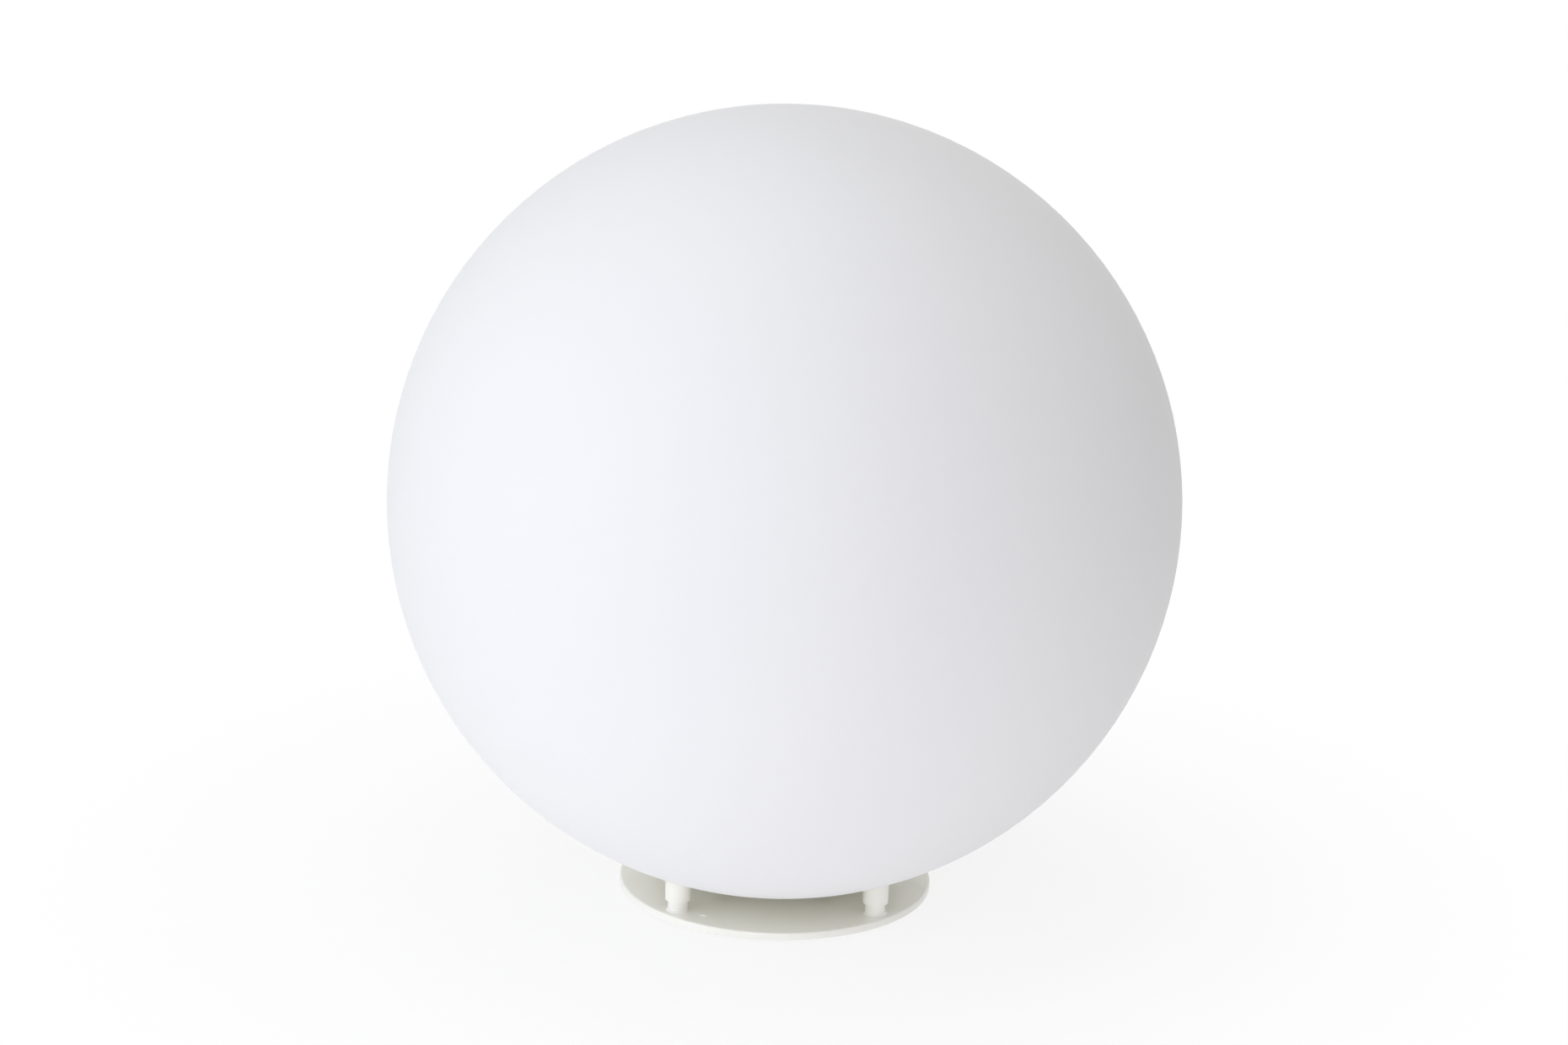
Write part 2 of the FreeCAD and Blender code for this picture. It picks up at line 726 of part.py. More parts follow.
def mitred(points, thickness):
    outer = []
    inner = []
    for k, here in enumerate(points):
        before = points[max(k - 1, 0)]
        after = points[min(k + 1, len(points) - 1)]
        into = (here - before) if k else (after - here)
        out = (after - here) if k < len(points) - 1 else into
        into = into.normalize()
        out = out.normalize()
        side = (into + out).normalize()
        normal = at(-side.z, 0, side.x)
        reach = thickness / 2 / side.dot(into)
        outer.append(here + normal * reach)
        inner.append(here - normal * reach)
    corners = outer + inner[::-1]
    return Part.Face(Part.makePolygon(corners + corners[:1]))


def retaining_clips():
    leg = clip_face() - CLIP_SHEET / 2
    bridge = collar_top + SEAT_GAP + CLIP_SHEET / 2
    shoulder = collar_radius + SEAT_GAP + CLIP_SHEET / 2
    bead = neck_inner + CLIP_REACH
    low = neck_top + SEAL_GAP + CLIP_SHEET / 2
    route = [(leg, collar_top - CLIP_LEG), (leg, bridge), (shoulder, bridge),
             (bead, (bridge + low) / 2), (shoulder + CLIP_SHEET, low)]
    hole = across(rod(RIVET_DIAMETER / 2 + THREAD_PLAY, leg - EMBED, leg + EMBED))
    clip = strip(route, CLIP_SHEET, CLIP_WIDTH).cut(moved(hole, 0, 0, rivet_z()))
    return Part.makeCompound(ring_of(clip, CLIP_COUNT, CLIP_FIRST_ANGLE))


def clip_rivets():
    face = clip_face() - CLIP_SHEET
    shaft = rod(RIVET_DIAMETER / 2, face - RIVET_HEAD_HEIGHT, collar_radius)
    head = rod(RIVET_HEAD / 2, face - SEAT_GAP - RIVET_HEAD_HEIGHT, face - SEAT_GAP)
    rivet = across(fused(shaft, [head]))
    return Part.makeCompound(ring_of(moved(rivet, 0, 0, rivet_z()), CLIP_COUNT, CLIP_FIRST_ANGLE))


# Power button

def power_button():
    face = rod(BUTTON_DIAMETER / 2, button_bottom, flange_top)
    face = face.makeFillet(BUTTON_EDGE_ROUND, circles_at(face, button_bottom))
    flange = rod(BUTTON_FLANGE / 2, flange_bottom, flange_top)
    stem = rod(BUTTON_STEM / 2, flange_top - EMBED, plunger_bottom)
    hollow = Part.makeSphere(BUTTON_DISH_RADIUS, at(0, 0, button_bottom + BUTTON_DISH - BUTTON_DISH_RADIUS))
    return fused(face, [flange, stem]).cut(hollow)


def button_spring():
    length = guide_top - flange_top - 2 * SEAT_GAP
    body = coil("button_spring", BUTTON_SPRING_MEAN, BUTTON_SPRING_MEAN, BUTTON_SPRING_TURNS, length,
                BUTTON_SPRING_WIRE)
    return moved(body, 0, 0, flange_top + SEAT_GAP)


def button_retainer():
    disc = rod(retainer_radius, guide_top, retainer_top)
    holes = [rod(BUTTON_STEM / 2 + BUTTON_PLAY, guide_top, retainer_top)]
    holes += free_holes(guide_top, retainer_top, retainer_screw_places())
    return disc.cut(Part.makeCompound(holes))


def retainer_screws():
    return screws_down(RETAINER_SCREW_LENGTH, retainer_screw_places(), retainer_top)


def power_switch():
    half = SWITCH_SIZE / 2
    body = block(-half, half, -half, half, switch_bottom, board_bottom)
    bore = rod(PLUNGER_DIAMETER / 2 + BUTTON_PLAY, switch_bottom, plunger_top + BUTTON_TRAVEL + BUTTON_PLAY)
    return body.cut(bore)


def switch_plunger():
    return rod(PLUNGER_DIAMETER / 2, plunger_bottom, plunger_top)


# Drum

def drum_walls():
    outside = drum_block(0, drum_bottom, drum_top)
    inside = drum_block(-DRUM_WALL, drum_floor, drum_top)
    edge = bay_half + EMBED
    floor_z = bay_floor - DRUM_WALL
    shelf_z = lower_cell_z + CELL_DIAMETER / 2 + CELL_PLAY
    shelf_end = contact_x - CONTACT_PLAY
    within = [block(-edge, edge, bay_back, partition_back, floor_z, drum_top),
              block(-edge, edge, bay_front - EMBED, partition_back, floor_z, bay_floor),
              block(-edge, shelf_end, cell_y, partition_back, shelf_z, shelf_z + SHELF_THICKNESS)]
    within += rods_at(boss_radius, drum_floor - EMBED, board_bottom, board_screw_places())
    within += rods_at(boss_radius, drum_floor - EMBED, drum_floor + DRUM_BOSS_HEIGHT, drum_screw_places())
    within += deck_columns()
    return fused(outside.cut(inside), [piece.common(outside) for piece in within])


def deck_columns():
    z0 = drum_top - DECK_COLUMN_LENGTH
    web = block(deck_screw_radius, drum_reach, -RIB_THICKNESS / 2, RIB_THICKNESS / 2, z0, drum_top)
    webs = [turned(web, angle) for angle in BACK_AND_SIDES]
    return rods_at(boss_radius, z0, drum_top, deck_screw_places()) + webs


def hinge_lugs():
    lugs = []
    for side in (-1, 1):
        middle = side * (knuckle_x + KNUCKLE_LENGTH / 2 + DOOR_PLAY + LUG_LENGTH / 2)
        x0 = middle - LUG_LENGTH / 2
        barrel = across(rod(KNUCKLE_RADIUS, 0, LUG_LENGTH))
        web = block(x0, x0 + LUG_LENGTH, hinge_y, drum_front + EMBED,
                    hinge_z - KNUCKLE_RADIUS, hinge_z + KNUCKLE_RADIUS - LUG_STEP)
        lugs += [moved(barrel, x0, hinge_y, hinge_z), web]
    return lugs


def pin_bore():
    bore = across(rod(HINGE_PIN_DIAMETER / 2 + HINGE_PLAY, -drum_half, drum_half))
    return moved(bore, 0, hinge_y, hinge_z)


def lamp_housing():
    body = fused(drum_walls(), hinge_lugs())
    half_opening = door_half + DOOR_PLAY
    holes = [block(-half_opening, half_opening, drum_front - OVERCUT, bay_front + OVERCUT,
                   opening_bottom, opening_top)]
    holes.append(rod(BUTTON_STEM / 2 + STEM_CLEARANCE, drum_bottom, drum_floor))
    holes += pilot_holes(drum_bottom, drum_screw_seat + DRUM_SCREW_LENGTH + SEAT_GAP, drum_screw_places())
    holes += pilot_holes(board_top - BOARD_SCREW_LENGTH - SEAT_GAP, board_bottom, board_screw_places())
    holes += pilot_holes(deck_top - DECK_SCREW_LENGTH - SEAT_GAP, drum_top, deck_screw_places())
    holes += [tail_slot(z) for z in (lower_cell_z, upper_cell_z)] + [pin_bore()]
    return body.cut(Part.makeCompound(holes))


def tail_slot(z):
    outer = contact_x + CONTACT_SHEET + CONTACT_PLAY
    half = TAIL_WIDTH / 2 + 2 * CONTACT_PLAY
    return block(-outer, 2 * CONTACT_PLAY - contact_x, bay_back - OVERCUT, partition_back + OVERCUT,
                 z - half, z + half)


def housing_screws():
    return screws_up(DRUM_SCREW_LENGTH, drum_screw_places(), drum_screw_seat)


# Battery

def battery_cell(z, side):
    radius = CELL_DIAMETER / 2
    body = CELL_LENGTH - NUB_LENGTH
    neck = body - 3 * CELL_EDGE
    profile = outline([(0, 0), (radius - CELL_EDGE, 0), (radius, CELL_EDGE), (radius, neck - CELL_EDGE),
                       (radius - CELL_EDGE, neck), (radius - CELL_EDGE, neck + CELL_EDGE),
                       (radius, neck + 2 * CELL_EDGE), (radius - CELL_EDGE, body), (NUB_DIAMETER / 2, body),
                       (NUB_DIAMETER / 2, CELL_LENGTH), (0, CELL_LENGTH)])
    cell = turned(revolved(profile), side * 90, at(0, 1, 0))
    nub_tip = contact_x - CONTACT_BUMP - CONTACT_PLAY
    return moved(cell, side * (nub_tip - CELL_LENGTH), cell_y, z)


def contact_sheet(side, z0, z1):
    x0 = min(side * contact_x, side * (contact_x + CONTACT_SHEET))
    half = CONTACT_WIDTH / 2
    return block(x0, x0 + CONTACT_SHEET, cell_y - half, cell_y + half, z0, z1)


def contact_bump(side, z):
    cone = Part.makeCone(NUB_DIAMETER / 2, NUB_DIAMETER / 3, CONTACT_BUMP)
    return moved(turned(cone, -side * 90, at(0, 1, 0)), side * contact_x, cell_y, z)


def contact_tail(z):
    x0 = -contact_x - CONTACT_SHEET
    return block(x0, x0 + CONTACT_SHEET, cell_y, partition_back + TAIL_REACH,
                 z - TAIL_WIDTH / 2, z + TAIL_WIDTH / 2)


def bridge_contact():
    half = CONTACT_WIDTH / 2
    sheet = contact_sheet(1, lower_cell_z - half, upper_cell_z + half)
    return fused(sheet, [contact_bump(1, upper_cell_z)])


def positive_contact():
    half = CONTACT_WIDTH / 2
    sheet = contact_sheet(-1, lower_cell_z - half, lower_cell_z + half)
    return fused(sheet, [contact_bump(-1, lower_cell_z), contact_tail(lower_cell_z)])


def negative_contact():
    half = CONTACT_WIDTH / 2
    sheet = contact_sheet(-1, upper_cell_z - half, upper_cell_z + half)
    return fused(sheet, [contact_tail(upper_cell_z)])


def contact_springs():
    spring = coil("contact_springs", CONTACT_SPRING_BASE, CONTACT_SPRING_TIP, CONTACT_SPRING_TURNS,
                  CONTACT_SPRING_LENGTH, CONTACT_SPRING_WIRE)
    left = moved(turned(spring, 90, at(0, 1, 0)), -contact_x, cell_y, upper_cell_z)
    right = moved(turned(spring, -90, at(0, 1, 0)), contact_x, cell_y, lower_cell_z)
    return Part.makeCompound([left, right])


# Battery door

def battery_door():
    half_lip = DOOR_LIP_WIDTH / 2
    panel = block(-door_half, door_half, drum_front, door_inside, door_bottom, door_top)
    pieces = [block(-half_lip, half_lip, drum_front - DOOR_LIP, drum_front, door_top - DOOR_LIP, door_top)]
    for k in range(GRIP_COUNT):
        z = door_top - DOOR_LIP - GRIP_PITCH * (k + 1)
        pieces.append(block(-half_lip, half_lip, drum_front - GRIP_PROUD, drum_front, z, z + GRIP_WIDTH))
    for side in (-1, 1):
        pieces += door_arm(side * knuckle_x - KNUCKLE_LENGTH / 2)
    return fused(panel, pieces).cut(pin_bore())


def door_arm(x0):
    x1 = x0 + KNUCKLE_LENGTH
    arm_top = door_bottom + DOOR_ARM
    barrel = across(rod(KNUCKLE_RADIUS, 0, KNUCKLE_LENGTH))
    return [moved(barrel, x0, hinge_y, hinge_z),
            block(x0, x1, hinge_y, drum_front - DOOR_PLAY, hinge_z, arm_top),
            block(x0, x1, hinge_y, drum_front + EMBED, door_bottom, arm_top)]


def hinge_pins():
    reach = KNUCKLE_LENGTH + LUG_LENGTH + DOOR_PLAY
    pins = []
    for side in (-1, 1):
        start = side * (knuckle_x - KNUCKLE_LENGTH / 2)
        x0 = min(start, start + side * reach)
        pins.append(moved(across(rod(HINGE_PIN_DIAMETER / 2, 0, reach)), x0, hinge_y, hinge_z))
    return Part.makeCompound(pins)


# Control board

def control_board():
    board = rounded_block(board_half, board_front, board_back, board_bottom, board_top, BOARD_CORNER)
    front = block(-board_half, board_half, board_front, board_front + BOARD_CORNER, board_bottom, board_top)
    holes = free_holes(board_bottom, board_top, board_screw_places())
    return fused(board, [front]).cut(Part.makeCompound(holes))


def board_screws():
    return screws_down(BOARD_SCREW_LENGTH, board_screw_places(), board_top)


def controller_chip():
    x0 = -CHIP_LENGTH / 2
    y0 = (SOCKET_Y - CHIP_WIDTH) / 2
    y1 = y0 + CHIP_WIDTH
    lifted = board_top + CHIP_LIFT
    body = block(x0, x0 + CHIP_LENGTH, y0, y1, lifted, lifted + CHIP_HEIGHT)
    pitch = CHIP_LENGTH / CHIP_LEGS
    legs = []
    for k in range(CHIP_LEGS):
        left = x0 + pitch * (k + 0.5) - CHIP_LEG_WIDTH / 2
        legs.append(block(left, left + CHIP_LEG_WIDTH, y0 - CHIP_LEG_REACH, y1 + CHIP_LEG_REACH,
                          board_top, lifted + CHIP_LIFT))
    return fused(body, legs)


def boost_inductor():
    radius = INDUCTOR_DIAMETER / 2
    top = board_top + INDUCTOR_HEIGHT
    waist = tube(radius, radius - INDUCTOR_RIM, board_top + INDUCTOR_RIM, top - INDUCTOR_RIM)
    body = rod(radius, board_top, top).cut(waist)
    return moved(body, SOCKET_SPACING - radius, COMPONENT_Y, 0)


def storage_capacitor():
    radius = CAPACITOR_DIAMETER / 2
    z0 = board_top + CAPACITOR_GROOVE_WIDTH
    body = rod(radius, board_top, board_top + CAPACITOR_HEIGHT)
    groove = tube(radius, radius - CAPACITOR_GROOVE, z0, z0 + CAPACITOR_GROOVE_WIDTH)
    return moved(body.cut(groove), radius - SOCKET_SPACING, COMPONENT_Y, 0)


def board_sockets():
    top = board_top + SOCKET_HEIGHT
    body = block(-SOCKET_WIDTH / 2, SOCKET_WIDTH / 2, -SOCKET_DEPTH / 2, SOCKET_DEPTH / 2, board_top, top)
    mouths = [(-LEAD_PITCH / 2, 0), (LEAD_PITCH / 2, 0)]
    holes = rods_at(LEAD_DIAMETER / 2 + CONTACT_PLAY, top - SOCKET_HOLE_DEPTH, top, mouths)
    socket = body.cut(Part.makeCompound(holes))
    return Part.makeCompound([moved(socket, k * SOCKET_SPACING, SOCKET_Y, 0) for k in (-1, 0, 1)])


# Deck, lamp and panel

def deck_skirt():
    inner = deck_radius - DECK_SKIRT
    half = DECK_RIB_THICKNESS / 2
    web = block(0, inner + DECK_SKIRT / 2, -half, half, deck_rib_bottom, drum_top)
    drum = drum_block(DECK_FIT, deck_rib_bottom, drum_top)
    ribs = [rib.cut(drum) for rib in ring_of(web, DECK_RIB_COUNT, DECK_RIB_FIRST_ANGLE)]
    return ribs + [tube(deck_radius, inner, deck_rib_bottom, drum_top)]


def panel_rims():
    inner = PANEL_SIZE / 2 + DECK_FIT
    half = PANEL_RIM_LENGTH / 2
    return ring_of(block(inner, inner + PANEL_RIM, -half, half, deck_top, deck_top + PANEL_RIM_HEIGHT), 4)


def peg_places():
    return circle_places(ring_middle, PEG_COUNT, 0)


def deck_pegs():
    head = deck_top + BOARD_THICKNESS + SEAT_GAP
    pegs = rods_at(PEG_DIAMETER / 2, deck_top, head, peg_places())
    return pegs + rods_at(PEG_HEAD / 2, head, head + PEG_HEAD_HEIGHT, peg_places())


def top_deck():
    step = deck_radius - COVER_WALL - COVER_GAP
    shelf = deck_top - DECK_STEP
    deck = revolved(outline([(0, drum_top), (deck_radius, drum_top), (deck_radius, shelf), (step, shelf),
                             (step, deck_top), (0, deck_top)]))
    deck = fused(deck, deck_skirt() + panel_rims() + deck_pegs())
    holes = free_holes(drum_top, deck_top, deck_screw_places())
    holes += rods_at(LEAD_HOLE / 2, drum_top, deck_top, [panel_exit(), led_exit()])
    return deck.cut(Part.makeCompound(holes))


def deck_screws():
    return screws_down(DECK_SCREW_LENGTH, deck_screw_places(), deck_top)


def led_board():
    z1 = deck_top + BOARD_THICKNESS
    holes = rods_at(PEG_DIAMETER / 2 + SEAT_GAP, deck_top, z1, peg_places())
    return tube(ring_outer, ring_inner, deck_top, z1).cut(Part.makeCompound(holes))


def led_packages():
    z0 = deck_top + BOARD_THICKNESS
    half = LED_SIZE / 2
    cup_z = z0 + LED_HEIGHT - PHOSPHOR_HEIGHT
    body = block(ring_middle - half, ring_middle + half, -half, half, z0, z0 + LED_HEIGHT)
    cup = Part.makeCone(PHOSPHOR_DIAMETER / 2, PHOSPHOR_DIAMETER / 2 + PHOSPHOR_HEIGHT, PHOSPHOR_HEIGHT)
    package = body.cut(moved(cup, ring_middle, 0, cup_z))
    return Part.makeCompound(ring_of(package, LED_COUNT, 180.0 / LED_COUNT))


def led_phosphors():
    z0 = deck_top + BOARD_THICKNESS + LED_HEIGHT - PHOSPHOR_HEIGHT
    drop = rod(PHOSPHOR_DIAMETER / 2, z0, z0 + PHOSPHOR_HEIGHT, ring_middle)
    return Part.makeCompound(ring_of(drop, LED_COUNT, 180.0 / LED_COUNT))


def solar_backing():
    half = PANEL_SIZE / 2
    return block(-half, half, -half, half, deck_top, deck_top + PANEL_THICKNESS)


def solar_cells():
    z0 = deck_top + PANEL_THICKNESS
    span = PANEL_SIZE - 2 * PANEL_BORDER
    pitch = (span + STRIP_GAP) / PANEL_STRIPS
    strips = []
    for k in range(PANEL_STRIPS):
        x0 = -span / 2 + k * pitch
        strips.append(block(x0, x0 + pitch - STRIP_GAP, -span / 2, span / 2, z0, z0 + STRIP_THICKNESS))
    return Part.makeCompound(strips)


def solar_glaze():
    half = PANEL_SIZE / 2
    z0 = deck_top + PANEL_THICKNESS + STRIP_THICKNESS
    return block(-half, half, -half, half, z0, z0 + GLAZE_THICKNESS)


def cover_curve(radius, z0, z1, shoulder):
    upper = radius - COVER_TAPER
    middle = upper - shoulder
    side_top = z1 - COVER_CROWN - shoulder
    diagonal = shoulder * math.sqrt(0.5)
    bend = [at(upper, 0, side_top), at(middle + diagonal, 0, side_top + diagonal),
            at(middle, 0, z1 - COVER_CROWN)]
    crown_radius = (middle ** 2 + COVER_CROWN ** 2) / (2 * COVER_CROWN)
    crown_z = z1 - crown_radius
    lean = math.asin(middle / crown_radius)
    crown = [at(crown_radius * math.sin(a), 0, crown_z + crown_radius * math.cos(a))
             for a in (lean, lean / 2, 0)]
    side = lines_through([(radius, z0), (upper, side_top)])
    return side + [Part.Arc(*bend).toShape(), Part.Arc(*crown).toShape()]


def light_cover():
    within = deck_radius - COVER_WALL
    z0 = deck_top - DECK_STEP + COVER_GAP
    z1 = z0 + COVER_HEIGHT
    outer = cover_curve(deck_radius, z0, z1, COVER_SHOULDER)
    inner = cover_curve(within, z0, z1 - COVER_WALL, COVER_SHOULDER - COVER_WALL)
    ends = lines_through([(0, z1), (0, z1 - COVER_WALL)]) + lines_through([(within, z0), (deck_radius, z0)])
    return revolved(Part.Face(Part.Wire(Part.__sortEdges__(outer + inner + ends))))


# Leads

def panel_exit():
    return 0.0, PANEL_EXIT_Y


def led_exit():
    y = drum_back - DRUM_WALL - LED_EXIT_GAP
    return math.sqrt((ring_inner + LED_EXIT_INSET) ** 2 - y ** 2), y


def socket_mouth(k, side):
    return at(k * SOCKET_SPACING + side * LEAD_PITCH / 2, SOCKET_Y, board_top + SOCKET_HEIGHT - LEAD_INSERT)


def tail_solder(z):
    return at(-contact_x + LEAD_DIAMETER / 2 + CONTACT_PLAY, partition_back + TAIL_REACH / 2, z)


def red_battery_route():
    mouth = socket_mouth(-1, -1)
    start = tail_solder(lower_cell_z)
    swing = start + at(LEAD_LEAN / 2, LEAD_SPAN, LEAD_LEAN / 2)
    over = mouth + at(-LEAD_LEAN, -2 * LEAD_LEAN, LEAD_RISE + LEAD_LEAN)
    return [start, swing, over, mouth + at(0, 0, LEAD_RISE), mouth]


def black_battery_route():
    mouth = socket_mouth(-1, 1)
    start = tail_solder(upper_cell_z)
    bend = at(start.x + LEAD_LEAN / 2, start.y + LEAD_LEAN / 2, lower_cell_z + 3 * LEAD_LEAN)
    swing = bend + at(3 * LEAD_LEAN, 4 * LEAD_LEAN, -LEAD_LEAN / 2)
    over = mouth + at(0, -2 * LEAD_LEAN, LEAD_RISE + 2 * LEAD_LEAN)
    return [start, bend, swing, over, mouth + at(0, 0, LEAD_RISE), mouth]


def deck_lead(k, side, x, y):
    mouth = socket_mouth(k, side)
    high = at(x, y, deck_top - CONTACT_PLAY)
    middle = (high + mouth) * 0.5 - at(0, LEAD_LEAN, 0)
    return [high, high - at(0, 0, LEAD_SPAN), middle, mouth + at(0, 0, LEAD_SPAN), mouth]


def leads():
    panel_x, panel_y = panel_exit()
    led_x, led_y = led_exit()
    half = LEAD_PITCH / 2
    return {
        "battery_lead_red": red_battery_route(),
        "battery_lead_black": black_battery_route(),
        "panel_lead_red": deck_lead(0, -1, panel_x - half, panel_y),
        "panel_lead_black": deck_lead(0, 1, panel_x + half, panel_y),
        "led_lead_red": deck_lead(1, -1, led_x - half, led_y),
        "led_lead_black": deck_lead(1, 1, led_x + half, led_y),
    }


NODES = [globe_shell, neck_ring, neck_seal, foot_plate, foot_pads, foot_screws, base_cap,
         retaining_clips, clip_rivets, power_button, button_spring, button_retainer, retainer_screws,
         power_switch, switch_plunger, lamp_housing, housing_screws, bridge_contact, positive_contact,
         negative_contact, contact_springs, battery_door, hinge_pins, control_board, board_screws,
         controller_chip, boost_inductor, storage_capacitor, board_sockets, top_deck, deck_screws,
         led_board, led_packages, led_phosphors, solar_backing, solar_cells, solar_glaze, light_cover]


def save(name, shape):
    shape.exportStep(os.path.join("parts", name + ".step"))


def main():
    os.makedirs("parts", exist_ok=True)
    for node in NODES:
        save(node.__name__, node())
    save("battery_cell_lower", battery_cell(lower_cell_z, -1))
    save("battery_cell_upper", battery_cell(upper_cell_z, 1))
    for name, route in leads().items():
        save(name, lead(name, route))


main()
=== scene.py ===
import json
import math
from functools import partial

import bpy
from mathutils import Matrix, Vector

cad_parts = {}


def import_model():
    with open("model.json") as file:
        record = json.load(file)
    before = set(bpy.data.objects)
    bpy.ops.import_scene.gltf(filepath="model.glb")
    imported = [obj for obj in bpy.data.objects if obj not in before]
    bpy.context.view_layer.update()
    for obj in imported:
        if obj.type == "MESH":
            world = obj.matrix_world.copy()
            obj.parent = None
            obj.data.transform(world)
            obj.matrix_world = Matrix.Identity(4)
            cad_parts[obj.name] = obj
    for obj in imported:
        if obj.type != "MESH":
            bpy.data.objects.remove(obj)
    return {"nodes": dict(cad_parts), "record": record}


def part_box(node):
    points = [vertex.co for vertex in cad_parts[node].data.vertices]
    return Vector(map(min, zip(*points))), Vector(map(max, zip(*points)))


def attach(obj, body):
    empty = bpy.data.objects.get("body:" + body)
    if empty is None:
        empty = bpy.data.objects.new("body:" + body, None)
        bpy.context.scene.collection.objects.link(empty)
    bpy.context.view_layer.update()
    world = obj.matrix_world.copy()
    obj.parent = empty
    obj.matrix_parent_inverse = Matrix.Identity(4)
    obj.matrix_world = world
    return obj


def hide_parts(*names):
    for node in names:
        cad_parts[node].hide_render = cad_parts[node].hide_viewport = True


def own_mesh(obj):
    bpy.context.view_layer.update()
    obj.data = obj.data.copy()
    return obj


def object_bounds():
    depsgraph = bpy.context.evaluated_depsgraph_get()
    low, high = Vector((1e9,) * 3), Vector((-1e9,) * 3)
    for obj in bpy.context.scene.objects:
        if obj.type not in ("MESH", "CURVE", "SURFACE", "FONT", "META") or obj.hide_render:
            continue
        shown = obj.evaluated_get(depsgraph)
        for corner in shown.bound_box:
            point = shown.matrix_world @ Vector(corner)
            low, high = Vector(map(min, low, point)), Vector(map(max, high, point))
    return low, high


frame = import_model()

CAD_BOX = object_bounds()
NODES = frame["nodes"]
RECORD = frame["record"]

# Photograph: the frame's width in pixels, and what was measured in it
PHOTO_WIDTH = 1860
GLOBE_RADIUS_PX = 471.9
GLOBE_ABOVE_MIDDLE_PX = 25.1
CAMERA_ELEVATION = math.radians(17.6)
CAMERA_ROLL = math.radians(1.5)
CAMERA_DISTANCE_RADII = 13.0
SENSOR_MM = 36.0

globe_low, globe_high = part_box("globe_shell")
GLOBE_RADIUS = (globe_high.x - globe_low.x) / 2
GLOBE_CENTRE = Vector((0, 0, globe_high.z - GLOBE_RADIUS))

# World: the strength that is seen, and the even light on the object
BACKGROUND = 1.0
AMBIENT = 0.485
WHITE = (1, 1, 1, 1)

# Softboxes, aimed at the globe's centre: place and side in metres, power in watts
LEFT_PLACE = (-1.7, -1.2, 1.1)
LEFT_POWER = 8.6
LEFT_TINT = (0.7, 0.83, 1.0)
SIDE_PLACE = (-2.0, -0.5, 0.3)
SIDE_POWER = 8.0
FRONT_PLACE = (-0.3, -2.2, 0.5)
FRONT_POWER = 12.9
FRONT_TINT = (0.945, 0.92, 1.0)
TOP_PLACE = (-0.2, 0.2, 2.0)
TOP_POWER = 8.2
WIDE_SIDE = 1.6
NARROW_SIDE = 1.4

# Floor, just clear of the pads: the shadow is kept in part near the foot and fades to white
# further out, and the light that the floor gives back is stronger near the foot; near and far
# are distances from the middle, in metres
FLOOR_WHITE = 0.9
FLOOR_SIZE = 14.0
FLOOR_DROP = 0.0002
SHADOW_KEPT = 0.2
SHADOW_NEAR = 0.05
SHADOW_FAR = 0.34
FLOOR_GLOW = 0.12
FOOT_GLOW = 0.25
FOOT_GLOW_NEAR = 0.07
FOOT_GLOW_FAR = 0.3

# Cap: the painted glow of its downward faces, which lightens the foot plate beneath, and the
# normal's Z where the glow ends
CAP_PAINTED_GLOW = 0.055
CAP_PAINTED_GLOW_TINT = (1.0, 0.97, 0.86, 1.0)
CAP_PAINTED_GLOW_END = -0.6

# Panel: pitch of the lines in metres, and their width as a share of it
FINGER_PITCH = 0.0016
FINGER_SHARE = 0.09
BUS_PITCH = 0.0195
BUS_SHARE = 0.05

# Boards: the distance from the middle of a cell of the pattern, in cells, where a track begins
TRACK_FROM = 0.40
TRACK_TO = 0.44

# Battery cells: the sleeve, and the ring that begins at a distance from the middle in metres
SLEEVE_BAND_FROM = 0.0165
SLEEVE_GREEN = (0.03, 0.2, 0.075)
SLEEVE_BAND = (0.02, 0.02, 0.022)


